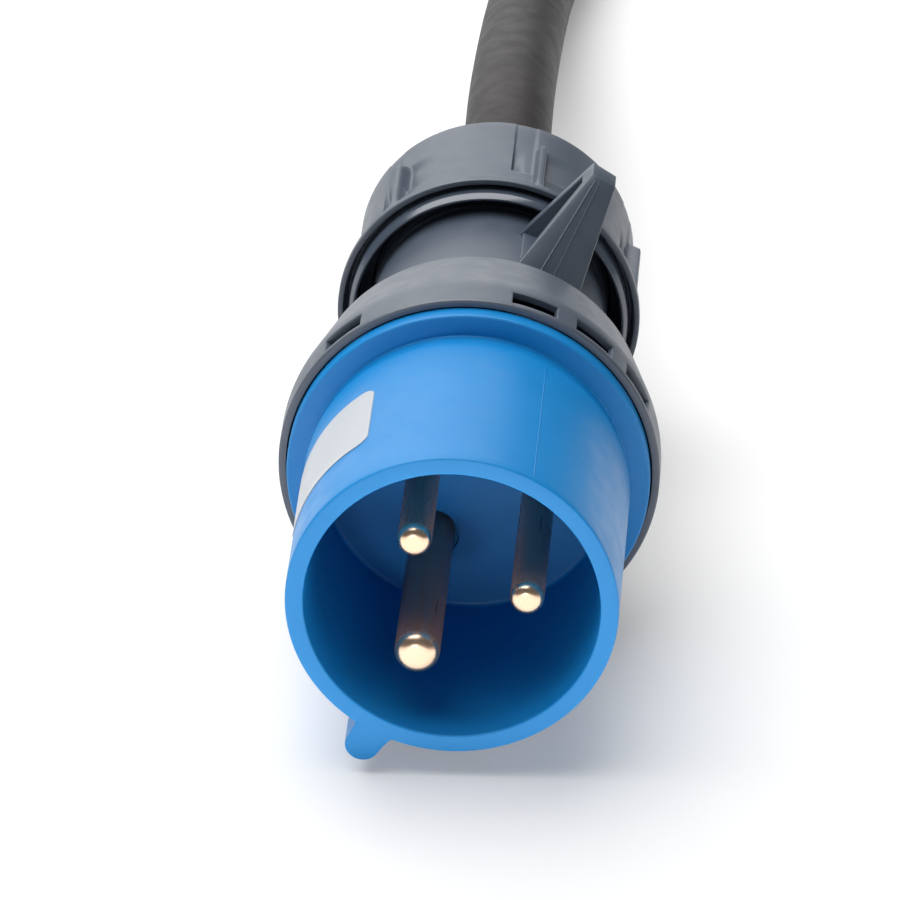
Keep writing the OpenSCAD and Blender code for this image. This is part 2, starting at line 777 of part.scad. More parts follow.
module gland_nut() color(grey) plug_frame() difference() {
    ribs = [for (i = [0:grip_count - 1]) grip_phase + 360 * i / grip_count];
    channel_turn = asin((rib_t + channel_w) / (2 * nut_r));
    union() {
        turned() nut_outer();
        for (a = ribs)
            at_angle(a) fin(rib_t) polygon([
                [nut_r - bite, flare_front - bite], [rib_r, flare_front - bite], [rib_r, grip_back],
                [nut_r - 0.2, grip_back + rib_slope], [nut_r - bite, grip_back + rib_slope]
            ]);
    }
    turned() nut_inner();
    for (a = ribs) {
        at_angle(a + channel_turn) fin(channel_w) polygon([
            [nut_r - channel_depth, grip_front], [nut_r + past, grip_front], [nut_r + past, nut_back + past],
            [nut_r - channel_end, nut_back + past]
        ]);
        translate([0, grip_front, 0]) along_y() linear_extrude(height = grip_len) hollow_section(-a);
    }
}

// Cable

module cable() color(black) tube(route, cable_r);

// Connector pieces

module strain_boot() color(black) connector_frame() difference() {
    groove_pitch = boot_len / (boot_grooves + 1);
    turned() difference() {
        union() {
            polygon([[0, -boot_len], [boot_tip_r, -boot_len], [boot_r, -2], [boot_r, 0], [0, 0]]);
            span(0, boot_neck_r, -bite, con_end_t + bite);
            span(0, boot_neck_r + 2, con_end_t, con_end_t + 2.5);
        }
        span(0, boot_hole_r, -boot_len - past, con_end_t + 2.5 + past);
        for (i = [1:boot_grooves])
            translate([0, i * groove_pitch - boot_len]) span(cable_r + 1.2, boot_r + past, -1, 1);
    }
}

module connector_housing() color(grey) connector_frame() difference() {
    union() {
        intersection() {
            along_y() linear_extrude(height = con_len) round_rect(con_w, con_w, con_corner);
            for (turn = [0, 90])
                intersection_for(t = [turn]) rotate([0, t, 0]) connector_side();
        }
        rod(con_spigot_r, con_len - bite, con_spigot_front);
    }
    turned() {
        span(0, insert_r + fit_gap, insert_back, con_spigot_front + past);
        span(0, insert_r - 1.5, con_end_t, insert_back + bite);
        span(0, boot_neck_r + fit_gap, -past, con_end_t + bite);
        span(con_spigot_r - clip_groove, con_spigot_r + past, clip_back, clip_front + fit_gap);
    }
}

// Side view of the connector's housing with bevelled ends
module connector_side() {
    h = con_w / 2;
    translate([0, 0, -con_w]) linear_extrude(height = 2 * con_w) polygon([
        [-h + con_bevel, 0], [h - con_bevel, 0], [h, con_bevel], [h, con_len - con_bevel],
        [h - con_bevel, con_len], [-h + con_bevel, con_len], [-h, con_len - con_bevel], [-h, con_bevel]
    ]);
}

module connector_insert() color(black) connector_frame() difference() {
    rod(insert_r, insert_back, insert_front);
    for (a = socket_angles)
        at_angle(a) translate([socket_circle_r, 0, 0]) {
            rod(socket_r + fit_gap, insert_back - past, socket_front);
            rod(socket_hole_r + 2 * fit_gap, insert_back, insert_front + past);
        }
}

module coupling_ring() color(grey) connector_frame() difference() {
    turned() difference() {
        polygon([
            [con_spigot_r, ring_back], [ring_r - past, ring_back], [ring_r, ring_back + past],
            [ring_r, ring_front - past], [ring_r - past, ring_front], [con_spigot_r, ring_front]
        ]);
        span(0, con_spigot_r + run_gap, ring_back - past, ring_front + past);
        span(0, ring_r - ring_wall, ring_step, ring_front + past);
    }
    for (i = [0:ring_flutes - 1])
        at_angle(360 * i / ring_flutes) translate([ring_r + flute_r - 0.6, 0, 0])
            rod(flute_r, ring_back + 2, ring_front - 2);
}

module ring_clip() color(steel) connector_frame() turned(360 - clip_gap)
    span(con_spigot_r - clip_groove + fit_gap, con_spigot_r - clip_groove + clip_h, clip_back, clip_front);

module socket(angle) color(brass) connector_frame() at_angle(angle) difference() {
    translate([socket_circle_r, 0, 0]) turned() {
        span(0, socket_r, insert_back - bite, socket_front - fit_gap);
        span(0, socket_barrel_r, socket_back, insert_back);
    }
    translate([socket_circle_r, 0, 0]) rod(socket_hole_r, insert_back + 2, socket_front + past);
    translate([socket_circle_r, 0, 0]) rod(core_r + fit_gap, socket_back - past, insert_back - 1.5);
    translate([socket_circle_r, 0, 0])
        spoke(screw_r + fit_gap, socket_back + socket_barrel_len / 2, 0, 2 * socket_barrel_r);
}

module line_socket() socket(line_angle);

module neutral_socket() socket(neutral_angle);

module earth_socket() socket(key_angle);

module socket_screws() color(steel) connector_frame()
    for (a = socket_angles)
        at_angle(a) clamp_screw(
            screw_r, socket_back + socket_barrel_len / 2, socket_circle_r + core_r,
            socket_circle_r + socket_barrel_r + 0.6
        );

module connector_core(angle, tint) color(tint) connector_frame() at_angle(angle)
    tube(wire_path(core_circle_r, socket_circle_r, 4, 5, socket_back - 0.5, insert_back - 2), core_r);

module connector_line_core() connector_core(line_angle, brown);

module connector_neutral_core() connector_core(neutral_angle, core_blue);

module connector_earth_core() connector_core(key_angle, core_green);

contact_carrier();
label();
flange_gasket();
earth_pin();
line_pin();
neutral_pin();
terminal_screws();
pin_retainer();
retainer_screw();
wire_ferrules();
line_core();
neutral_core();
earth_core();
rear_housing();
gland_seal();
clamp_cage();
slip_washer();
gland_nut();
cable();
strain_boot();
connector_housing();
connector_insert();
coupling_ring();
ring_clip();
line_socket();
neutral_socket();
earth_socket();
socket_screws();
connector_line_core();
connector_neutral_core();
connector_earth_core();
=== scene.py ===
"""Looks for the round power plug on its short rubber lead.

It makes the camera, the cable, the dressed pieces, their materials and the studio.
"""

import json
import math

import bmesh
import bpy
from mathutils import Matrix, Vector


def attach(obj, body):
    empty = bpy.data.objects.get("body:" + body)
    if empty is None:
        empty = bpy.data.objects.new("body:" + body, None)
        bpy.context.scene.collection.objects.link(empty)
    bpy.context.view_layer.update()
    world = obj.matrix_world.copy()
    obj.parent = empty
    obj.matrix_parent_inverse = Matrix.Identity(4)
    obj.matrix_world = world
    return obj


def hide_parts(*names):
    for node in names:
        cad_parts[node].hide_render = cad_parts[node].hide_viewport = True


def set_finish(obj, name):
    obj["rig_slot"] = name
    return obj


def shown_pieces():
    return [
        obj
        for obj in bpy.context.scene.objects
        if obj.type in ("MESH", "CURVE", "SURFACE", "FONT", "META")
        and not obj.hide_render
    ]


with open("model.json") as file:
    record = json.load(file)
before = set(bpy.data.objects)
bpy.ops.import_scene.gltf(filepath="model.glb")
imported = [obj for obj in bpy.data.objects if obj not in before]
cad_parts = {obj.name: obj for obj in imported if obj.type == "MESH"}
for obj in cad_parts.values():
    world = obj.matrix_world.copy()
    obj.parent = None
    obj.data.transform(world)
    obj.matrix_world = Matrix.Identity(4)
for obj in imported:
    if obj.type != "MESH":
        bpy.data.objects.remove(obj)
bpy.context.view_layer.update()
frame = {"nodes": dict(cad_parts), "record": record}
nodes = frame["nodes"]
scene = bpy.context.scene

MM = 0.001
# The plug's axis and rim, and the connector's axis and cable side, in millimetres
PLUG = (0.0, -70.0, 34.0)
CON = (20.0, 412.0, 22.0)


def turn(degrees):
    """Cosine and sine of an angle in degrees."""
    a = math.radians(degrees)
    return math.cos(a), math.sin(a)


def point(r, y, degrees, base=PLUG):
    """Place at radius r and depth y, at an angle about the axis through base, in metres."""
    c, s = turn(degrees)
    return Vector((base[0] + r * c, base[1] + y, base[2] + r * s)) * MM


def smoothstep(a, b, x):
    """Smooth rise from 0 at a to 1 at b."""
    t = min(max((x - a) / (b - a), 0), 1)
    return t * t * (3 - 2 * t)


# Camera

AZIMUTH, ELEVATION = 3.5, 29.0
IMAGE_PX, FOCAL_PX, PX_PER_MM = 900, 9000.0, 5.78
RIM_PIXEL = (451.6, 606.6)
SENSOR_MM = 36


def make_camera():
    ca, sa = turn(AZIMUTH)
    ce, se = turn(ELEVATION)
    right = Vector((ca, sa, 0))
    forward = Vector((-sa * ce, ca * ce, -se))
    up = right.cross(forward)
    middle = IMAGE_PX / 2
    aim = forward * FOCAL_PX + right * (middle - RIM_PIXEL[0]) + up * (RIM_PIXEL[1] - middle)

    data = bpy.data.cameras.new("camera")
    data.sensor_width = SENSOR_MM
    data.lens = FOCAL_PX / IMAGE_PX * SENSOR_MM
    data.clip_start, data.clip_end = 0.05, 100
    camera = bpy.data.objects.new("camera", data)
    scene.collection.objects.link(camera)
    camera.location = point(0, 0, 0) - forward * (FOCAL_PX / PX_PER_MM * MM)
    camera.rotation_mode = "QUATERNION"
    camera.rotation_quaternion = aim.to_track_quat("-Z", "Y")
    scene.camera = camera


make_camera()


# Mesh helpers

# Angle in degrees past which an edge is shaded sharp
SHARP = 32


def smooth_shade(mesh, sharp):
    mesh.polygons.foreach_set("use_smooth", [True] * len(mesh.polygons))
    mesh.set_sharp_from_angle(angle=math.radians(sharp))


def finished(bm, name, body, slot, replaces=(), sharp=SHARP):
    """Turn a bmesh into a piece that rides on a body and stands for CAD nodes."""
    bmesh.ops.recalc_face_normals(bm, faces=bm.faces[:])
    mesh = bpy.data.meshes.new(name)
    bm.to_mesh(mesh)
    bm.free()
    smooth_shade(mesh, sharp)
    piece = bpy.data.objects.new(name, mesh)
    scene.collection.objects.link(piece)
    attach(piece, body)
    if replaces:
        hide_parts(*replaces)
    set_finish(piece, slot)
    return piece


def rounded(corners, steps=4):
    """Outline with arcs in place of corners: each corner is (radius, depth) or (radius, depth, rounding)."""
    out = []
    n = len(corners)
    for i, corner in enumerate(corners):
        p = Vector(corner[:2])
        size = corner[2] if len(corner) > 2 else 0
        if size <= 0:
            out.append((p.x, p.y))
            continue
        a = (Vector(corners[i - 1][:2]) - p).normalized()
        b = (Vector(corners[(i + 1) % n][:2]) - p).normalized()
        half = a.angle(b) / 2
        reach = size / math.tan(half)
        centre = p + (a + b).normalized() * (size / math.sin(half))
        first, last = p + a * reach - centre, p + b * reach - centre
        sweep = first.angle_signed(last)
        for k in range(steps + 1):
            v = first.copy()
            v.rotate(Matrix.Rotation(-sweep * k / steps, 2))
            out.append((centre.x + v.x, centre.y + v.y))
    return out


def spin(bm, outline, base=PLUG, count=192, skip=None):
    """Revolve a closed outline of (radius, depth) about the axis. A radius may be a function of the angle."""
    rings = []
    for r, y in outline:
        if not callable(r) and r < 1e-6:
            rings.append([bm.verts.new(point(0, y, 0, base))])
            continue
        ring = []
        for k in range(count):
            angle = 360 * k / count
            ring.append(bm.verts.new(point(r(angle) if callable(r) else r, y, angle, base)))
        rings.append(ring)
    for i, a in enumerate(rings):
        b = rings[(i + 1) % len(rings)]
        if len(a) == 1 and len(b) == 1:
            continue
        for k in range(count):
            if skip and skip(i, k):
                continue
            j = (k + 1) % count
            corners = [a[k % len(a)], a[j % len(a)], b[j % len(b)], b[k % len(b)]]
            bm.faces.new([v for m, v in enumerate(corners) if v not in corners[:m]])
    return rings


def bridge(bm, rows, closed=False):
    """Join each row of points to the next. Closed rows also join their last point to their first."""
    for a, b in zip(rows, rows[1:]):
        for k in range(len(a) if closed else len(a) - 1):
            j = (k + 1) % len(a)
            bm.faces.new([a[k], a[j], b[j], b[k]])


def cap(bm, rows):
    """Close the first and the last row of points with a face each."""
    bm.faces.new(rows[0])
    bm.faces.new(rows[-1][::-1])


def bevel_sharp(bm, width, angle=40, segments=2, only=None):
    """Round every edge that is sharper than an angle."""
    bmesh.ops.recalc_face_normals(bm, faces=bm.faces[:])
    limit = math.radians(angle)
    edges = [
        e for e in (bm.edges if only is None else only)
        if len(e.link_faces) == 2 and e.calc_face_angle(0) > limit
    ]
    bmesh.ops.bevel(
        bm, geom=edges, offset=width * MM, offset_type="OFFSET", segments=segments, profile=0.5,
        affect="EDGES", clamp_overlap=True,
    )


def drill(start, end, radius):
    """Round bar between two places in metres, with its radius in millimetres, to cut from a piece."""
    bm = bmesh.new()
    way = end - start
    bmesh.ops.create_cone(
        bm, cap_ends=True, segments=72, radius1=radius * MM, radius2=radius * MM, depth=way.length,
        matrix=Matrix.Translation((start + end) / 2) @ way.to_track_quat("Z", "Y").to_matrix().to_4x4(),
    )
    mesh = bpy.data.meshes.new("tool")
    bm.to_mesh(mesh)
    bm.free()
    tool = bpy.data.objects.new("tool", mesh)
    scene.collection.objects.link(tool)
    return tool


def cut(piece, tools):
    """Cut tools from a piece, and keep the result as the piece's mesh."""
    for tool in tools:
        step = piece.modifiers.new("step", "BOOLEAN")
        step.operation, step.solver, step.object = "DIFFERENCE", "EXACT", tool
    bpy.context.view_layer.update()
    shape = piece.evaluated_get(bpy.context.evaluated_depsgraph_get())
    mesh = bpy.data.meshes.new_from_object(shape)
    piece.modifiers.clear()
    piece.data = mesh
    smooth_shade(mesh, SHARP)
    for tool in tools:
        bpy.data.objects.remove(tool)


# Cable

ROUTE = [
    (0, 42, 34), (0, 70, 34), (-0.3, 98, 34), (-0.7, 118, 33.4), (-1.1, 138, 31.4), (-1.3, 158, 28.2),
    (-1.4, 178, 24.4), (-1.4, 198, 20.2), (-1.1, 218, 16), (0, 238, 12.4), (2.2, 258, 9.9), (5.4, 278, 8.7),
    (9.4, 298, 9), (13.4, 318, 11.6), (16.8, 338, 16), (19.2, 358, 20.2), (20, 378, 22), (20, 398, 22),
    (20, 416, 22),
]
CABLE_R = 8.3
CABLE_SIDES = 64


def smooth_route(points, steps=6):
    """Catmull-Rom curve through the route's points, in metres."""
    p = [Vector(q) * MM for q in points]
    p = [2 * p[0] - p[1]] + p + [2 * p[-1] - p[-2]]
    out = []
    for i in range(1, len(p) - 2):
        for k in range(steps):
            t = k / steps
            out.append(0.5 * (
                2 * p[i] + (p[i + 1] - p[i - 1]) * t
                + (2 * p[i - 1] - 5 * p[i] + 4 * p[i + 1] - p[i + 2]) * t * t
                + (3 * p[i] - p[i - 1] - 3 * p[i + 1] + p[i + 2]) * t ** 3
            ))
    out.append(p[-2])
    return out


def make_cable():
    path = smooth_route(ROUTE)
    circle = [turn(360 * k / CABLE_SIDES) for k in range(CABLE_SIDES)]
    bm = bmesh.new()
    rings = []
    for i, place in enumerate(path):
        way = (path[min(i + 1, len(path) - 1)] - path[max(i - 1, 0)]).normalized()
        side = way.cross(Vector((0, 0, 1))).normalized()
        over = side.cross(way)
        rings.append([bm.verts.new(place + CABLE_R * MM * (side * c + over * s)) for c, s in circle])
    bridge(bm, rings, closed=True)
    cap(bm, rings)
    piece = finished(bm, "cable_jacket", "plug", "cable_jacket", ["cable"])
    length = sum((b - a).length for a, b in zip(path, path[1:]))
    return piece, path, length


# Blue contact carrier, with radii and with depths from the rim

SHROUD_R, SHROUD_BORE_R, RIM_ROUND = 29.0, 25.8, 0.4
GROOVE_R, GROOVE_FRONT, GROOVE_SLOPE = 28.3, 43.3, 0.6
FLANGE_R, FLANGE_FRONT, FLANGE_BACK = 32.35, 47.3, 50.5
SPIGOT_R, SPIGOT_BORE_R, SPIGOT_BACK = 27.0, 23.5, 62.0
FLOOR_FRONT, FLOOR_BACK = 46.8, 54.0
BOSS_R, BOSS_BACK, SCREW_R, SCREW_END = 4.0, 56.5, 1.6, 50.5
STRAIGHT_ROWS = (2, 12, 24, 36, 42)

# Key: its angle, the place and radius of its round lobe, and the height of the fillets beside the lobe
KEY_ANGLE, KEY_OUT, KEY_R, KEY_FILLET = 241.0, 32.2, 3.1, 2.6
KEY_HEIGHT = KEY_OUT + KEY_R - SHROUD_R

# Mould line: its angle and depths, and its section as (degrees to the side, height above the shroud)
MOULD_LINE_ANGLE, MOULD_LINE_ENDS = 61, (1.0, 43.0)
MOULD_LINE_SECTION = ((-0.28, -0.2), (-0.12, 0.07), (0.12, 0.07), (0.28, -0.2))

# Pins by node, angle and radius, then their circle and holes, their depths, and the rounding of their tips
# as a share of the radius
PINS = [("earth_pin", 241, 4.0), ("line_pin", 121, 3.0), ("neutral_pin", 1, 3.0)]
PIN_CIRCLE, PIN_HOLE_FRONT, PIN_HOLE_GAP = 12.9, 45.0, 0.8
PIN_FRONT, PIN_SEAT, PIN_BACK = 2.0, 48.3, 76.0
PIN_DOME, PIN_STEP = 0.62, 0.6
COLLAR_R, BARREL_R = 6.5, 5.4
WIRE_BORE_R, WIRE_BORE_END = 2.6, 64.0

# Label: its size, its place, and the heights of its two faces above the shroud
LABEL_WIDTH, LABEL_LENGTH, LABEL_CORNER = 24.4, 20.0, 2.4
LABEL_ANGLE, LABEL_FRONT = 147, 14.0
LABEL_LIFTS = (0.17, 0.02)


def shroud_radius(angle):
    """Outer radius of the shroud with its key: a round lobe, with a wide fillet on its lower side."""
    off = (angle - KEY_ANGLE + 180) % 360 - 180
    c, s = turn(off)
    inside = KEY_R ** 2 - (KEY_OUT * s) ** 2
    if inside > 0 and c > 0:
        return KEY_OUT * c + math.sqrt(inside)
    edge = math.degrees(math.asin(KEY_R / KEY_OUT))
    if off > 0:
        return SHROUD_R + KEY_FILLET * (1 - smoothstep(edge - 0.3, edge + 2.8, off)) ** 1.5
    return SHROUD_R + KEY_FILLET * (1 - smoothstep(edge - 0.2, edge + 0.9, -off))


def make_carrier():
    def with_key(r):
        """Radius r with the key on it, whose crest is as far out as on the shroud."""
        key_share = 1 + (SHROUD_R - r) / KEY_HEIGHT
        return lambda a: r + (shroud_radius(a) - SHROUD_R) * key_share

    rim = []
    for k in range(6):
        c, s = turn(18 * k)
        rim.append((lambda a, s=s: shroud_radius(a) - RIM_ROUND * (1 - s), RIM_ROUND * (1 - c)))
    straight = [(shroud_radius, y) for y in STRAIGHT_ROWS]
    # The first and the last point only give the direction of the walls
    rest = rounded([
        (SHROUD_R, 30), (SHROUD_R, GROOVE_FRONT, 0.6), (GROOVE_R, GROOVE_FRONT + GROOVE_SLOPE, 0.2),
        (GROOVE_R, FLANGE_FRONT, 0.3), (FLANGE_R, FLANGE_FRONT, 0.5), (FLANGE_R, FLANGE_BACK, 0.2),
        (SPIGOT_R, FLANGE_BACK, 0.2), (SPIGOT_R, SPIGOT_BACK, 0.5), (SPIGOT_BORE_R, SPIGOT_BACK, 0.5),
        (SPIGOT_BORE_R, FLOOR_BACK, 0.4), (BOSS_R, FLOOR_BACK, 0.3), (BOSS_R, BOSS_BACK, 0.3),
        (SCREW_R, BOSS_BACK), (SCREW_R, SCREW_END), (0, SCREW_END), (0, FLOOR_FRONT),
        (SHROUD_BORE_R, FLOOR_FRONT, 0.8), (SHROUD_BORE_R, 0, RIM_ROUND), (28, 0),
    ], steps=5)[1:-1]
    # The points of the shroud and of the groove behind it carry the key
    near = 0.1
    rest = [
        (with_key(r), y) if GROOVE_R - near < r < SHROUD_R + near and y < FLANGE_FRONT - near else (r, y)
        for r, y in rest
    ]
    bm = bmesh.new()
    spin(bm, rim + straight + rest, count=720)
    piece = finished(bm, "carrier", "plug", "blue_plastic", ["contact_carrier"])

    bm = bmesh.new()
    line = [
        [bm.verts.new(point(SHROUD_R + high, y, MOULD_LINE_ANGLE + off)) for off, high in MOULD_LINE_SECTION]
        for y in MOULD_LINE_ENDS
    ]
    bridge(bm, line)
    cap(bm, line)
    finished(bm, "mould_line", "plug", "blue_plastic", sharp=80)

    cut(piece, [
        drill(point(PIN_CIRCLE, PIN_HOLE_FRONT, a), point(PIN_CIRCLE, PIN_SEAT, a), r + PIN_HOLE_GAP)
        for _, a, r in PINS
    ])


def make_pins():
    for name, angle, r in PINS:
        c, s = turn(angle)
        base = (PLUG[0] + PIN_CIRCLE * c, PLUG[1], PLUG[2] + PIN_CIRCLE * s)
        bm = bmesh.new()
        spin(bm, rounded([
            (0, PIN_FRONT), (r, PIN_FRONT, PIN_DOME * r), (r, PIN_SEAT, 0.1), (r - PIN_STEP, PIN_SEAT),
            (r - PIN_STEP, FLOOR_BACK), (COLLAR_R, FLOOR_BACK, 0.3), (COLLAR_R, BOSS_BACK, 0.3),
            (BARREL_R, BOSS_BACK), (BARREL_R, PIN_BACK, 0.4), (WIRE_BORE_R, PIN_BACK, 0.2),
            (WIRE_BORE_R, WIRE_BORE_END), (0, WIRE_BORE_END - 1),
        ], steps=9), base, count=96)
        finished(bm, name + "_turned", "plug", "brass", [name])


def make_label():
    """Bare film with round corners on the shroud."""
    rows = []
    for k in range(9):
        c, s = turn(90 * k / 8)
        rows.append((LABEL_FRONT + LABEL_CORNER * (1 - c), LABEL_WIDTH / 2 - LABEL_CORNER * (1 - s)))
    rows += [(2 * LABEL_FRONT + LABEL_LENGTH - y, half) for y, half in rows[::-1]]
    columns = 40
    bm = bmesh.new()

    def film_row(r, y, half):
        places = (half * (2 * k / columns - 1) for k in range(columns + 1))
        return [bm.verts.new(point(r, y, LABEL_ANGLE + math.degrees(math.asin(w / r)))) for w in places]

    top, low = ([film_row(SHROUD_R + lift, y, half) for y, half in rows] for lift in LABEL_LIFTS)
    bridge(bm, top)
    bridge(bm, low)
    for k in (0, columns):
        bridge(bm, [[row[k] for row in top], [row[k] for row in low]])
    for i in (0, -1):
        bridge(bm, [top[i], low[i]])
    finished(bm, "label_film", "plug", "label_film", ["label"])


# Grey rear housing, with radii and with depths from the plug's rim

BAND_R, BAND_BORE_R, LIP_BORE_R, DRUM_R, NECK_R = 34.0, 32.8, 32.6, 30.0, 22.0
HOUSING_FRONT, LIP_BACK, BAND_BACK, DRUM_BACK, SHOULDER_BACK = 50.1, 50.9, 57.7, 75.0, 86.5
NECK_BACK, NECK_TAPER_BACK, HOUSING_BACK = 103.0, 105.6, 126.0
SEAL_BORE_R, CABLE_HOLE_R = 18.2, 10.0
WALL_FRONT, WALL_BACK = 109.5, 112.5

# Inner corners of the neck, the shoulder, the drum and the band, as (radius, depth)
HOLLOW = [(SEAL_BORE_R, 92.5), (19.2, 85.4), (27.2, 73.9), (31.2, 58.2), (BAND_BORE_R, 57.4)]

# Gland thread: its size, its rows in the mesh, and the depths between which it fades in and out
THREAD_R, THREAD_DEEP, THREAD_PITCH, THREAD_FRONT = 21.7, 0.6, 3.0, 111.3
THREAD_ROW, THREAD_STEP, THREAD_ROWS = 111.6, 0.38, 37
FADE_IN, FADE_OUT = (111.6, 112.6), (124.5, 125.6)

# Windows in the band: the angles of their middles, half of their angle, and their depths
WINDOWS = [28, 49, 70, 132, 228, 310]
WINDOW_HALF = 7
WINDOW_FRONT, WINDOW_BACK = 51.5, 55.4


def thread_row(y):
    """Row of the helical thread, which fades out at both ends."""
    fade = smoothstep(*FADE_IN, y) * (1 - smoothstep(*FADE_OUT, y))

    def radius(angle):
        wave = 0.5 + 0.5 * math.sin(2 * math.pi * (y / THREAD_PITCH - angle / 360))
        return THREAD_R - THREAD_DEEP + THREAD_DEEP * fade * wave
    return radius, y


def make_housing():
    root_r = THREAD_R - THREAD_DEEP
    # The lip's inner edge keeps only the second half of its arc
    outer = rounded([
        (LIP_BORE_R, HOUSING_FRONT, 0.15), (BAND_R, HOUSING_FRONT, 0.5), (BAND_R, BAND_BACK, 14),
        (DRUM_R, DRUM_BACK, 0.8), (NECK_R, SHOULDER_BACK, 1.2), (NECK_R, NECK_BACK),
        (THREAD_R, NECK_TAPER_BACK), (THREAD_R, THREAD_FRONT, 0.2), (root_r, THREAD_FRONT),
    ], steps=5)[3:]
    split = next(i for i, (_, y) in enumerate(outer) if y > WINDOW_FRONT)
    outer[split:split] = [(BAND_R, WINDOW_FRONT), (BAND_R, WINDOW_BACK)]
    thread = [thread_row(THREAD_ROW + k * THREAD_STEP) for k in range(THREAD_ROWS)]
    inner = [
        (root_r, HOUSING_BACK), (SEAL_BORE_R, HOUSING_BACK), (SEAL_BORE_R, WALL_BACK),
        (CABLE_HOLE_R, WALL_BACK), (CABLE_HOLE_R, WALL_FRONT), (SEAL_BORE_R, WALL_FRONT), *HOLLOW,
        (BAND_BORE_R, WINDOW_BACK), (BAND_BORE_R, WINDOW_FRONT), (BAND_BORE_R, LIP_BACK),
        (LIP_BORE_R, LIP_BACK),
    ]
    outline = outer + thread + inner
    at = [outline.index(corner) for corner in (
        (BAND_R, WINDOW_FRONT), (BAND_R, WINDOW_BACK),
        (BAND_BORE_R, WINDOW_BACK), (BAND_BORE_R, WINDOW_FRONT),
    )]
    open_cells = {k % 360 for a in WINDOWS for k in range(a - WINDOW_HALF, a + WINDOW_HALF)}

    bm = bmesh.new()
    rings = spin(bm, outline, count=360, skip=lambda i, k: i in (at[0], at[2]) and k in open_cells)
    front, back, in_back, in_front = (rings[i] for i in at)
    rim_verts = set()
    for a in WINDOWS:
        span = [k % 360 for k in range(a - WINDOW_HALF, a + WINDOW_HALF + 1)]
        for k in (span[0], span[-1]):
            bm.faces.new([front[k], back[k], in_back[k], in_front[k]])
        for outside, inside in ((front, in_front), (back, in_back)):
            bridge(bm, [[outside[k] for k in span], [inside[k] for k in span]])
        rim_verts |= {ring[k] for ring in (front, back) for k in span}
    bevel_sharp(bm, 0.25, only=[e for e in bm.edges if all(v in rim_verts for v in e.verts)])
    finished(bm, "housing", "plug", "grey_plastic", ["rear_housing"])


# Latch arm: its angle, the radii and depths of its front, the depths of its back, and its plates' thickness

ARM_ANGLE = 56.5
FOOT_R, TIP_R, FOOT_FRONT, TIP_FRONT = 20.6, 38.8, 87.9, 102.2
FOOT_BACK, TIP_BACK, PLATE = 103.4, 107.0, 1.7
ARM_RISE = TIP_R - FOOT_R

# Half widths of the arm at the pad's top and at the tip
PAD_HALF, TIP_HALF = 6.2, 2.5

# Two ridges along the front plate, as places to the left at the foot and at the tip, with a bead on each
RIDGES = ((2.3, 1.4), (-0.5, 0.5))
BEAD_SECTION = ((0.22, 0.1), (0.1, -0.14), (-0.1, -0.14), (-0.22, 0.1))
BEAD_END = 0.6

# Pad under the arm: its radii, depths, first angle, span and edge
PAD_ROOT_R, PAD_R, PAD_FRONT, PAD_BACK = 20.9, 22.6, 88.4, 103.4
PAD_ANGLE, PAD_SPAN = 40.5, 32
PAD_CHAMFER = (0.25, 0.3)


def arm_point(r, y, w):
    """Place on the latch arm at radius r and depth y, w to its left, in metres."""
    c, s = turn(ARM_ANGLE)
    return Vector((PLUG[0] + r * c - w * s, PLUG[1] + y, PLUG[2] + r * s + w * c)) * MM


def make_arm():
    """Hollow wedge of two plates, with a fine bead along each ridge of the front plate."""
    front_plate = PLATE * math.hypot(ARM_RISE, TIP_FRONT - FOOT_FRONT) / ARM_RISE
    hole_r = TIP_R - 1.6 * PLATE
    bm = bmesh.new()

    def half(r):
        return PAD_HALF + (TIP_HALF - PAD_HALF) * (r - PAD_R) / (TIP_R - PAD_R)

    def front(r):
        return FOOT_FRONT + (TIP_FRONT - FOOT_FRONT) * (r - FOOT_R) / ARM_RISE

    def back(r):
        return FOOT_BACK + (TIP_BACK - FOOT_BACK) * (r - FOOT_R) / ARM_RISE

    def front_row(r):
        """Four points across the front plate: its sides lie a little behind its ridges."""
        t = (r - FOOT_R) / ARM_RISE
        ridges = [(first + (last - first) * t, 0.0) for first, last in RIDGES]
        across = [(half(r), 1.0 - 0.6 * t), *ridges, (-half(r), 0.25)]
        return [bm.verts.new(arm_point(r, front(r) + behind, w)) for w, behind in across]

    def pair(r, y):
        return [bm.verts.new(arm_point(r, y, w)) for w in (half(r), -half(r))]

    low, high = front_row(FOOT_R), front_row(TIP_R)
    rear_high, rear_low = pair(TIP_R, TIP_BACK), pair(FOOT_R, FOOT_BACK)
    hole = [
        pair(FOOT_R, front(FOOT_R) + front_plate), pair(hole_r, front(hole_r) + front_plate),
        pair(hole_r, back(hole_r) - PLATE), pair(FOOT_R, back(FOOT_R) - PLATE),
    ]
    bridge(bm, [low, high])
    bm.faces.new([*high, rear_high[1], rear_high[0]])
    bridge(bm, [rear_high, rear_low])
    bm.faces.new([*low, hole[0][1], hole[0][0]])
    bridge(bm, [rear_low, hole[3]])
    bridge(bm, hole)
    for side, end in ((0, 0), (1, 3)):
        bm.faces.new([low[end], high[end], hole[1][side], hole[0][side]])
        bm.faces.new([high[end], rear_high[side], hole[2][side], hole[1][side]])
        bm.faces.new([rear_high[side], rear_low[side], hole[3][side], hole[2][side]])
    bevel_sharp(bm, 0.25, segments=3)
    for first, last in RIDGES:
        bead = [
            [bm.verts.new(arm_point(r, front(r) + behind, w + off)) for off, behind in BEAD_SECTION]
            for r, w in ((FOOT_R, first), (TIP_R - BEAD_END, last))
        ]
        bridge(bm, bead, closed=True)
        cap(bm, bead)
    finished(bm, "arm", "plug", "grey_plastic")


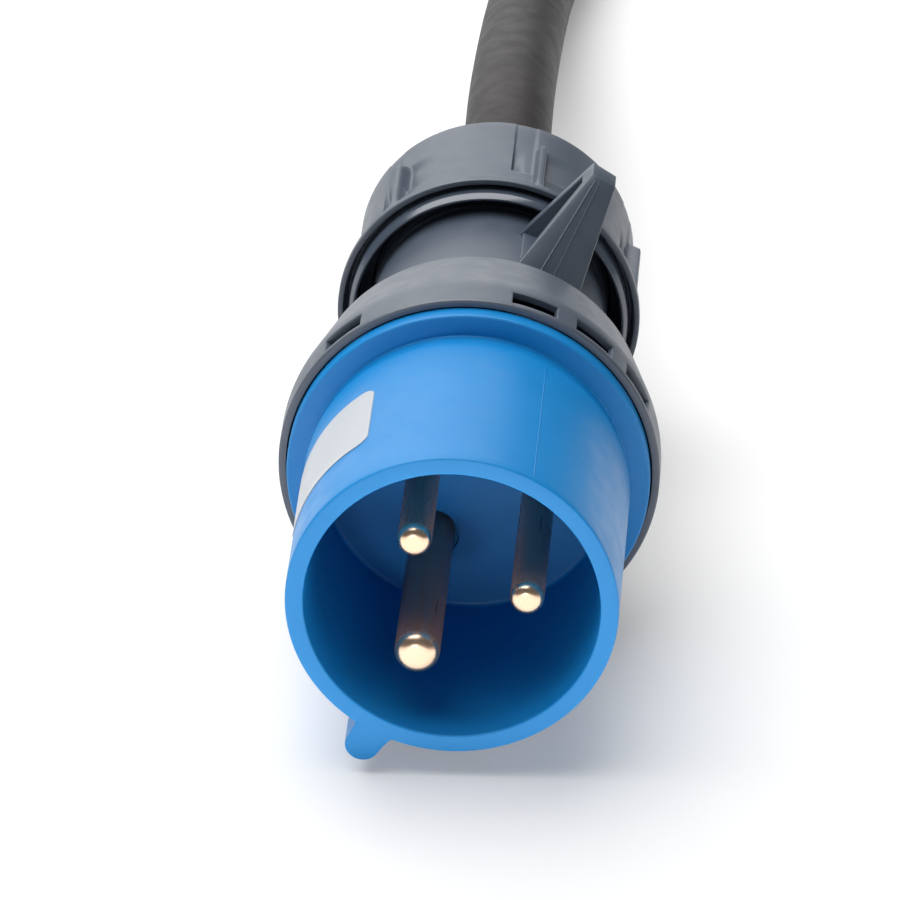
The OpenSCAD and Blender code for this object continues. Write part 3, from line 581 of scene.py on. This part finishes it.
def make_arm_pad():
    """Low pad on the neck, under the latch arm."""
    down, along = PAD_CHAMFER
    section = [
        (PAD_ROOT_R, PAD_FRONT), (PAD_R - down, PAD_FRONT), (PAD_R, PAD_FRONT + along),
        (PAD_R, PAD_BACK - along), (PAD_R - down, PAD_BACK), (PAD_ROOT_R, PAD_BACK),
    ]
    bm = bmesh.new()
    rows = [[bm.verts.new(point(r, y, PAD_ANGLE + k)) for r, y in section] for k in range(PAD_SPAN + 1)]
    bridge(bm, rows)
    cap(bm, rows)
    bevel_sharp(bm, 0.2, angle=60)
    finished(bm, "arm_pad", "plug", "grey_plastic")


# Gland nut, with radii and with depths from the plug's rim

NUT_R, NUT_BACK, NUT_ROUND = 25.4, 140.0, 0.6
SKIRT_R, SKIRT_BORE_R, SKIRT_FOOT_R, SKIRT_FRONT = 27.8, 26.8, 26.1, 110.6
FLARE_FRONT, FLARE_BACK, FLARE_ROUND = 112.2, 117.5, 7.05
NUT_LIP_R, NUT_LIP_EDGE_R, NUT_LIP_BORE_R = 25.7, 24.95, 24.5
NUT_LIP_FRONT, NUT_LIP_FOOT = 108.2, 113.6
NUT_BORE_R, NUT_BORE_FRONT, NUT_FLOOR, NUT_CABLE_R = 22.0, 119.4, 134.5, 9.4

# Grips: their depths, the crest of the ribs, the first rib's angle and the angle between ribs
GRIP_FRONT, GRIP_BACK = 120.4, 131.0
RIB_R, RIB_ANGLE, RIB_STEP = 27.6, 10.4, 60


def nut_profile(y):
    """Radius of the nut without its grips."""
    if y < FLARE_FRONT:
        return SKIRT_R
    if y < FLARE_BACK:
        return NUT_R + FLARE_ROUND - math.sqrt(FLARE_ROUND ** 2 - (FLARE_BACK - y) ** 2)
    if y < NUT_BACK - NUT_ROUND:
        return NUT_R
    return NUT_R - NUT_ROUND + math.sqrt(max(NUT_ROUND ** 2 - (y - NUT_BACK + NUT_ROUND) ** 2, 0))


def nut_radius(angle, y):
    """Radius of the nut with its ribs, and with a channel and a hollow beside each rib."""
    base = nut_profile(y)
    off = (angle - RIB_ANGLE + RIB_STEP / 2) % RIB_STEP - RIB_STEP / 2
    # Way round the nut from the rib, in millimetres
    s = math.radians(off) * NUT_R
    r = base
    front = smoothstep(GRIP_FRONT - 0.2, GRIP_FRONT + 0.3, y)
    rear = 1 - smoothstep(GRIP_BACK - 3.5, GRIP_BACK + 0.3, y)
    channel = smoothstep(0.6, 1.4, s) * (1 - smoothstep(4.85, 5.1, s))
    pocket = smoothstep(2.6, 4.6, s) * (1 - smoothstep(GRIP_FRONT, GRIP_BACK, y))
    r -= channel * front * (0.3 + 1.1 * pocket - 0.2 * smoothstep(GRIP_BACK, NUT_BACK, y))
    if -7.4 < s < -0.6:
        hollow = max(0.7 * (1 + (s + 0.7) / 6.4), 0) * smoothstep(0.6, 1.6, -s)
        r -= hollow * front * rear
    crest = RIB_R - 1.1 * max(y - GRIP_BACK + 1.8, 0)
    if crest > base:
        rib = 1 - smoothstep(0.4, 1.1, abs(s + 0.1))
        r += (crest - r) * rib
    return r


def make_nut():
    # Rows of the outside, closest where the grips start and end
    depths = [SKIRT_FRONT + 0.35, SKIRT_FRONT + 0.9, FLARE_FRONT]
    depths += [FLARE_FRONT + 0.53 * k for k in range(1, 11)] + [118.2, 119, 119.8]
    depths += [GRIP_FRONT + step for step in (-0.3, -0.1, 0.1, 0.3, 0.8)] + [122 + k for k in range(9)]
    depths += [GRIP_BACK + step for step in (-0.4, -0.2, 0, 0.2)]
    depths += [GRIP_BACK + 0.6 + 0.4 * k for k in range(5)] + [134.5, 136, 137.5]
    depths += [NUT_BACK - NUT_ROUND + NUT_ROUND * turn(15 * k)[1] for k in range(7)]
    # The last point only gives the direction of the skirt
    lip_and_skirt = rounded([
        (NUT_LIP_BORE_R, 114.5), (NUT_LIP_BORE_R, NUT_LIP_FRONT + 0.4, 0.15),
        (NUT_LIP_EDGE_R, NUT_LIP_FRONT, 0.2), (NUT_LIP_R, NUT_LIP_FRONT + 1.3, 0.8),
        (NUT_LIP_R, NUT_LIP_FOOT, 0.3), (SKIRT_FOOT_R, NUT_LIP_FOOT, 0.15),
        (SKIRT_BORE_R, SKIRT_FRONT, 0.2), (SKIRT_R, SKIRT_FRONT, 0.3), (SKIRT_R, 113),
    ])[:-1]
    outside = [(lambda a, y=y: nut_radius(a, y), y) for y in depths]
    rear = [(23.0, NUT_BACK), (16, NUT_BACK)]
    bore = rounded([
        (16, NUT_BACK), (NUT_CABLE_R, NUT_BACK, 0.8), (NUT_CABLE_R, NUT_FLOOR), (NUT_BORE_R, NUT_FLOOR),
        (NUT_BORE_R, NUT_BORE_FRONT), (24, 118),
    ])[1:]
    bm = bmesh.new()
    spin(bm, lip_and_skirt + outside + rear + bore, count=720)
    return finished(bm, "nut", "gland_nut", "grey_plastic", ["gland_nut"], sharp=45)


# In-line connector, with radii and with depths from its cable side

BOOT_LEN, BOOT_THIN_R, BOOT_R, BOOT_BORE_R, BOOT_RINGS = 34, 10.6, 13.6, 8.35, 6
BOOT_NECK_R, BOOT_FOOT_R, BOOT_FOOT_END = 10.8, 12.8, 8.5
SHELL_HALF, SHELL_CORNER, SHELL_ROUND, SHELL_LEN = 22, 8, 2.5, 46
SHELL_MOUTH_R, SHELL_HOLLOW_R, SHELL_WALL = 10.9, 13.5, 6
SLEEVE_R, SLEEVE_BORE_R, SLEEVE_END = 18, 15.1, 58
CLIP_GROOVE_R, CLIP_FRONT, CLIP_BACK = 17, 53.6, 54.9
INSERT_R, INSERT_START, INSERT_END = 15, 24, 62
OUTLET_CIRCLE, OUTLET_R, SOCKET_HOLE_R = 8, 2.2, 3.5
RING_R, RING_BORE_R, RING_STEP_R, RING_EDGE = 21.6, 19.9, 18.3, 1.0
RING_START, RING_STEP, RING_END = 46.3, 53.3, 69.3
FLUTE_STEP, FLUTE_DEEP = 18, 0.6


def square_radius(half, corner):
    """Radius of a square with round corners, as a function of the angle."""
    def radius(angle):
        c, s = (abs(v) for v in turn(angle))
        inner = half - corner
        straight = half / max(c, s)
        if min(c, s) * straight <= inner:
            return straight
        b = inner * (c + s)
        return b + math.sqrt(max(b * b - 2 * inner * inner + corner * corner, 0))
    return radius


def fluted(r, deep):
    """Radius r with narrow flutes, as a function of the angle."""
    def radius(angle):
        s = math.radians((angle + FLUTE_STEP / 2) % FLUTE_STEP - FLUTE_STEP / 2) * r
        return r - deep * (1 - smoothstep(0.3, 1.5, abs(s)))
    return radius


def make_boot():
    """Tapered rubber sleeve with rings, whose foot sits in the shell."""
    grooves = []
    for k in range(1, BOOT_RINGS):
        y = -BOOT_LEN + k * BOOT_LEN / BOOT_RINGS
        outer = BOOT_THIN_R + (BOOT_R - BOOT_THIN_R) * (y + BOOT_LEN) / (BOOT_LEN - 2)
        floor_r = max(outer - 2.2, 9.5)
        grooves += [
            (outer - 0.1, y - 1.1, 0.4), (floor_r, y - 0.9, 0.4),
            (floor_r, y + 0.9, 0.4), (outer + 0.1, y + 1.1, 0.4),
        ]
    bm = bmesh.new()
    spin(bm, rounded([
        (BOOT_BORE_R, -BOOT_LEN), (BOOT_THIN_R, -BOOT_LEN, 0.8), *grooves, (BOOT_R, -2, 1.2), (BOOT_R, 0),
        (BOOT_NECK_R, 0), (BOOT_NECK_R, SHELL_WALL), (BOOT_FOOT_R, SHELL_WALL),
        (BOOT_FOOT_R, BOOT_FOOT_END), (BOOT_BORE_R, BOOT_FOOT_END),
    ]), CON, count=96)
    return finished(bm, "boot", "plug", "black_rubber", ["strain_boot"])


def make_shell():
    """Square housing with round edges, and the round sleeve that carries the coupling ring."""
    rows = []
    for k in range(7):
        c, s = turn(15 * k)
        less = SHELL_ROUND * (1 - s)
        rows.append((square_radius(SHELL_HALF - less, SHELL_CORNER - less), SHELL_ROUND * (1 - c)))
    rows += [(r, SHELL_LEN - y) for r, y in rows[::-1]]
    bm = bmesh.new()
    spin(bm, [(SHELL_MOUTH_R, 0.4), (SHELL_MOUTH_R + 0.4, 0), (14, 0)] + rows + rounded([
        (18.6, SHELL_LEN), (SLEEVE_R, SHELL_LEN, 0.3), (SLEEVE_R, CLIP_FRONT), (CLIP_GROOVE_R, CLIP_FRONT),
        (CLIP_GROOVE_R, CLIP_BACK), (SLEEVE_R, CLIP_BACK), (SLEEVE_R, SLEEVE_END, 0.5),
        (SLEEVE_BORE_R, SLEEVE_END, 0.3), (SLEEVE_BORE_R, INSERT_START), (SHELL_HOLLOW_R, INSERT_START),
        (SHELL_HOLLOW_R, SHELL_WALL), (SHELL_MOUTH_R, SHELL_WALL),
    ]), CON, count=240)
    return finished(bm, "connector_shell", "plug", "grey_plastic", ["connector_housing"])


def make_insert():
    """Insert with an outlet and a wider hole for a socket behind it, at each pin's angle."""
    bm = bmesh.new()
    spin(bm, rounded([
        (0, INSERT_START), (INSERT_R, INSERT_START), (INSERT_R, INSERT_END, 0.8), (0, INSERT_END),
    ]), CON, count=120)
    insert = finished(bm, "insert", "plug", "inner_plastic", ["connector_insert"])
    tools = []
    for _, angle, _ in PINS:
        for start, end, r in ((INSERT_START - 1, 58, SOCKET_HOLE_R), (57, INSERT_END + 1, OUTLET_R)):
            tools.append(drill(
                point(OUTLET_CIRCLE, start, angle, CON), point(OUTLET_CIRCLE, end, angle, CON), r,
            ))
    cut(insert, tools)
    return insert


def make_ring():
    """Fluted coupling ring with chamfered ends."""
    flank = [(RING_EDGE, 0), (RING_EDGE + 0.7, 0), (RING_EDGE + 1.3, FLUTE_DEEP)]
    rows = [(fluted(RING_R - RING_EDGE, 0), RING_START)]
    rows += [(fluted(RING_R, deep), RING_START + step) for step, deep in flank]
    rows += [(fluted(RING_R, deep), RING_END - step) for step, deep in flank[::-1]]
    rows += [(fluted(RING_R - RING_EDGE, 0), RING_END)]
    bm = bmesh.new()
    spin(bm, [(RING_STEP_R, RING_START)] + rows + rounded([
        (RING_R - RING_EDGE, RING_END), (RING_BORE_R, RING_END, 0.3), (RING_BORE_R, RING_STEP),
        (RING_STEP_R, RING_STEP), (RING_STEP_R, RING_START),
    ])[1:-1], CON, count=480)
    return finished(bm, "ring", "coupling_ring", "grey_plastic", ["coupling_ring"], sharp=45)


cable, cable_path, cable_length = make_cable()
make_carrier()
make_pins()
make_label()
make_housing()
make_arm()
make_arm_pad()
nut = make_nut()
connector_pieces = [make_boot(), make_shell(), make_insert(), make_ring()]


# Materials

# Range of the noise that carries a material from its first value to its second
NOISE_LOW, NOISE_HIGH = 0.3, 0.7
GRAIN_HEIGHT = 0.0002

# Sockets of a Mix node by number: numbers first, colours further on
MIX_NUMBER_A, MIX_NUMBER_B, MIX_NUMBER_OUT = 2, 3, 0
MIX_COLOUR_A, MIX_COLOUR_B, MIX_COLOUR_OUT = 6, 7, 2

# Depths from the rim, in millimetres, between which the pins fade into painted shade behind their tips, and
# between which the nut's lip is smooth
SHAFT_SHADE_FROM, SHAFT_SHADE_TO = 3.2, 4.8
SMOOTH_FROM, SMOOTH_TO = 108.0, 110.2


def linear(colour):
    """Linear values of a colour given in sRGB from 0 to 255."""
    return tuple(((v / 255 + 0.055) / 1.055) ** 2.4 if v > 10 else v / 255 / 12.92 for v in colour)


def surface(name, dark, light, rough, bump=0.05, grain=900.0, patches=60.0, stretch=None, **sockets):
    """Material with soft patches of colour, uneven gloss and a fine grain."""
    mat = bpy.data.materials.new(name)
    mat.use_nodes = True
    tree = mat.node_tree
    shader = tree.nodes["Principled BSDF"]
    for key, value in sockets.items():
        shader.inputs[key.replace("_", " ")].default_value = value
    coords = tree.nodes.new("ShaderNodeTexCoord")
    where = coords.outputs["Object"]
    if stretch:
        mapping = tree.nodes.new("ShaderNodeMapping")
        mapping.inputs["Scale"].default_value = stretch
        tree.links.new(where, mapping.inputs["Vector"])
        where = mapping.outputs["Vector"]

    def noise(scale, detail):
        node = tree.nodes.new("ShaderNodeTexNoise")
        node.inputs["Scale"].default_value = scale
        node.inputs["Detail"].default_value = detail
        tree.links.new(where, node.inputs["Vector"])
        return node.outputs["Fac"]

    ramp = tree.nodes.new("ShaderNodeValToRGB")
    for stop, place, colour in zip(ramp.color_ramp.elements, (NOISE_LOW, NOISE_HIGH), (dark, light)):
        stop.position = place
        stop.color = (*linear(colour), 1)
    tree.links.new(noise(patches, 4), ramp.inputs["Fac"])
    tree.links.new(ramp.outputs["Color"], shader.inputs["Base Color"])

    gloss = tree.nodes.new("ShaderNodeMapRange")
    gloss.inputs["From Min"].default_value = NOISE_LOW
    gloss.inputs["From Max"].default_value = NOISE_HIGH
    gloss.inputs["To Min"].default_value, gloss.inputs["To Max"].default_value = rough
    tree.links.new(noise(patches * 4, 3), gloss.inputs["Value"])
    tree.links.new(gloss.outputs["Result"], shader.inputs["Roughness"])

    relief = tree.nodes.new("ShaderNodeBump")
    relief.inputs["Strength"].default_value = bump
    relief.inputs["Distance"].default_value = GRAIN_HEIGHT
    tree.links.new(noise(grain, 2), relief.inputs["Height"])
    tree.links.new(relief.outputs["Normal"], shader.inputs["Normal"])
    return mat


def object_coords(tree):
    """Socket with the place on the object, from the node that the material has already."""
    return next(n for n in tree.nodes if n.type == "TEX_COORD").outputs["Object"]


def depth_of(tree):
    """Socket with the depth along the plug's axis, in metres."""
    parts = tree.nodes.new("ShaderNodeSeparateXYZ")
    tree.links.new(object_coords(tree), parts.inputs["Vector"])
    return parts.outputs["Y"]


def shaded_shafts(mat, colour, metallic):
    """Painted shade on the plug's pins behind their tips: a darker, duller metal colour where the shafts sit
    deep in the shroud.
    """
    tree = mat.node_tree
    shader = tree.nodes["Principled BSDF"]
    ramp = tree.nodes.new("ShaderNodeMapRange")
    ramp.interpolation_type = "SMOOTHSTEP"
    ramp.inputs["From Min"].default_value = (PLUG[1] + SHAFT_SHADE_FROM) * MM
    ramp.inputs["From Max"].default_value = (PLUG[1] + SHAFT_SHADE_TO) * MM
    tree.links.new(depth_of(tree), ramp.inputs["Value"])
    mix = tree.nodes.new("ShaderNodeMix")
    mix.data_type = "RGBA"
    bright = shader.inputs["Base Color"].links[0].from_socket
    tree.links.new(bright, mix.inputs[MIX_COLOUR_A])
    mix.inputs[MIX_COLOUR_B].default_value = (*linear(colour), 1)
    tree.links.new(ramp.outputs["Result"], mix.inputs["Factor"])
    tree.links.new(mix.outputs[MIX_COLOUR_OUT], shader.inputs["Base Color"])
    metal = tree.nodes.new("ShaderNodeMapRange")
    metal.inputs["To Min"].default_value, metal.inputs["To Max"].default_value = 1.0, metallic
    tree.links.new(ramp.outputs["Result"], metal.inputs["Value"])
    tree.links.new(metal.outputs["Result"], shader.inputs["Metallic"])
    return mat


def polished(mat, rough):
    """Glossier band on the nut's lip, where a smooth mould face forms it."""
    tree = mat.node_tree
    shader = tree.nodes["Principled BSDF"]
    band = tree.nodes.new("ShaderNodeMath")
    band.operation = "COMPARE"
    band.inputs[1].default_value = (PLUG[1] + (SMOOTH_FROM + SMOOTH_TO) / 2) * MM
    band.inputs[2].default_value = (SMOOTH_TO - SMOOTH_FROM) / 2 * MM
    tree.links.new(depth_of(tree), band.inputs[0])
    mix = tree.nodes.new("ShaderNodeMix")
    tree.links.new(band.outputs[0], mix.inputs["Factor"])
    tree.links.new(shader.inputs["Roughness"].links[0].from_socket, mix.inputs[MIX_NUMBER_A])
    mix.inputs[MIX_NUMBER_B].default_value = rough
    tree.links.new(mix.outputs[MIX_NUMBER_OUT], shader.inputs["Roughness"])
    return mat


def striped(name, one, two):
    """Insulation in two colours that run round the core in bands."""
    mat = surface(name, one, two, (0.35, 0.5))
    tree = mat.node_tree
    wave = tree.nodes.new("ShaderNodeTexWave")
    wave.bands_direction = "Z"
    wave.inputs["Scale"].default_value = 60
    wave.inputs["Distortion"].default_value = 0.4
    tree.links.new(object_coords(tree), wave.inputs["Vector"])
    ramp = next(n for n in tree.nodes if n.type == "VALTORGB")
    ramp.color_ramp.elements[0].position, ramp.color_ramp.elements[1].position = 0.49, 0.51
    tree.links.new(wave.outputs["Fac"], ramp.inputs["Fac"])
    return mat


def grey_plastic(name):
    return surface(
        name, (66, 76, 90), (72, 82, 96), (0.38, 0.48), bump=0.08, grain=1500, Specular_IOR_Level=0.9,
    )


def brass():
    bright = surface(
        "brass", (232, 198, 166), (240, 208, 180), (0.26, 0.32), bump=0.03, grain=300, patches=80,
        stretch=(1, 0.08, 1), Metallic=1.0,
    )
    # The shafts get painted shade: a darker colour that is less metallic than the tips.
    return shaded_shafts(bright, (172, 130, 108), 0.35)


materials = {
    "blue_plastic": surface(
        "blue_plastic", (16, 126, 194), (22, 131, 199), (0.34, 0.44), bump=0.04, grain=1400,
        Specular_IOR_Level=0.35,
    ),
    "label_film": surface("label_film", (176, 182, 188), (184, 189, 194), (0.4, 0.5), grain=500),
    "black_rubber": surface(
        "black_rubber", (12, 12, 13), (17, 17, 18), (0.6, 0.75), bump=0.15, grain=1200,
        Specular_IOR_Level=0.2,
    ),
    "cable_jacket": surface(
        "cable_jacket", (34, 31, 31), (42, 38, 38), (0.5, 0.62), bump=0.25, grain=1300,
        Specular_IOR_Level=0.35,
    ),
    "brass": brass(),
    "steel": surface(
        "steel", (188, 190, 194), (205, 206, 210), (0.25, 0.4), bump=0.08, grain=500, patches=90,
        Metallic=1.0,
    ),
    "grey_plastic": grey_plastic("grey_plastic"),
    "inner_plastic": surface("inner_plastic", (40, 41, 44), (46, 47, 50), (0.45, 0.6), bump=0.1, grain=1100),
    "brown_insulation": surface("brown_insulation", (88, 50, 28), (100, 58, 34), (0.35, 0.5)),
    "blue_insulation": surface("blue_insulation", (40, 90, 165), (48, 100, 176), (0.35, 0.5)),
    "earth_insulation": striped("earth_insulation", (70, 140, 50), (225, 200, 60)),
}


def dress(piece, mat):
    """Give a piece one material."""
    piece.data.materials.clear()
    piece.data.materials.append(mat)


slot_of = {row["node"]: row["material_slot"] for row in frame["record"]["subparts"]}
for name, node in nodes.items():
    dress(node, materials[slot_of[name]])
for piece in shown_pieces():
    if "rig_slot" in piece:
        dress(piece, materials[piece["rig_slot"]])
dress(nut, polished(grey_plastic("nut_plastic"), 0.2))


# Studio, in metres and watts

FLOOR_HALF = 6
FLOOR_WHITE = 0.28
WORLD_LEVEL = 0.12
LOW_X, LOW_Y, LOW_SIZE = -0.02, -0.4, 0.65


def area_light(name, place, target, size, power, mirrored=True):
    """Square lamp that the camera doesn't see, and that metal mirrors only if asked."""
    data = bpy.data.lights.new(name, "AREA")
    data.shape, data.size, data.energy = "SQUARE", size, power
    lamp = bpy.data.objects.new(name, data)
    scene.collection.objects.link(lamp)
    lamp.visible_camera = False
    lamp.visible_glossy = mirrored
    lamp.location = place
    lamp.rotation_mode = "QUATERNION"
    lamp.rotation_quaternion = (Vector(target) - Vector(place)).to_track_quat("-Z", "Y")


def whitened(mat, share):
    """Floor that the camera and reflections see with a share of plain white."""
    tree = mat.node_tree
    rays = tree.nodes.new("ShaderNodeLightPath")
    seen = rays.outputs["Is Camera Ray"]
    for kind in ("Is Glossy Ray", "Is Transmission Ray"):
        either = tree.nodes.new("ShaderNodeMath")
        either.operation = "MAXIMUM"
        tree.links.new(seen, either.inputs[0])
        tree.links.new(rays.outputs[kind], either.inputs[1])
        seen = either.outputs[0]
    part = tree.nodes.new("ShaderNodeMath")
    part.operation = "MULTIPLY"
    part.inputs[1].default_value = share
    tree.links.new(seen, part.inputs[0])
    white = tree.nodes.new("ShaderNodeEmission")
    mix = tree.nodes.new("ShaderNodeMixShader")
    tree.links.new(part.outputs[0], mix.inputs[0])
    tree.links.new(tree.nodes["Principled BSDF"].outputs[0], mix.inputs[1])
    tree.links.new(white.outputs[0], mix.inputs[2])
    tree.links.new(mix.outputs[0], tree.nodes["Material Output"].inputs["Surface"])
    return mat


def make_floor():
    h = FLOOR_HALF
    mesh = bpy.data.meshes.new("floor")
    mesh.from_pydata([(-h, -h, 0), (h, -h, 0), (h, h, 0), (-h, h, 0)], [], [(0, 1, 2, 3)])
    floor = bpy.data.objects.new("floor", mesh)
    scene.collection.objects.link(floor)
    pale = surface("floor", (243, 243, 243), (244, 244, 244), (0.7, 0.8), bump=0.0)
    mesh.materials.append(whitened(pale, FLOOR_WHITE))


def make_world():
    world = bpy.data.worlds.new("world")
    scene.world = world
    world.use_nodes = True
    background = world.node_tree.nodes["Background"]
    background.inputs["Color"].default_value = (1, 1, 1, 1)
    background.inputs["Strength"].default_value = WORLD_LEVEL


area_light("key", (-0.34, 0.2, 1.32), (0, 0, 0.03), 1.6, 32)
area_light("back", (-0.35, 1.65, 0.5), (0, 0, 0.05), 1.5, 10)
area_light("front", (-0.15, -1.2, 0.035), (0, -0.07, 0.034), 0.1, 1.2)
# Two lamps just above the floor light the mating face from below, and only the first shows in the pins
low_target = (LOW_X, LOW_Y, 1)
area_light("low", (LOW_X, LOW_Y, 0.001), low_target, LOW_SIZE, 0.8)
area_light("low_fill", (LOW_X, LOW_Y, 0.0012), low_target, LOW_SIZE, 1.0, mirrored=False)
make_floor()
make_world()

scene.view_settings.view_transform = "Standard"
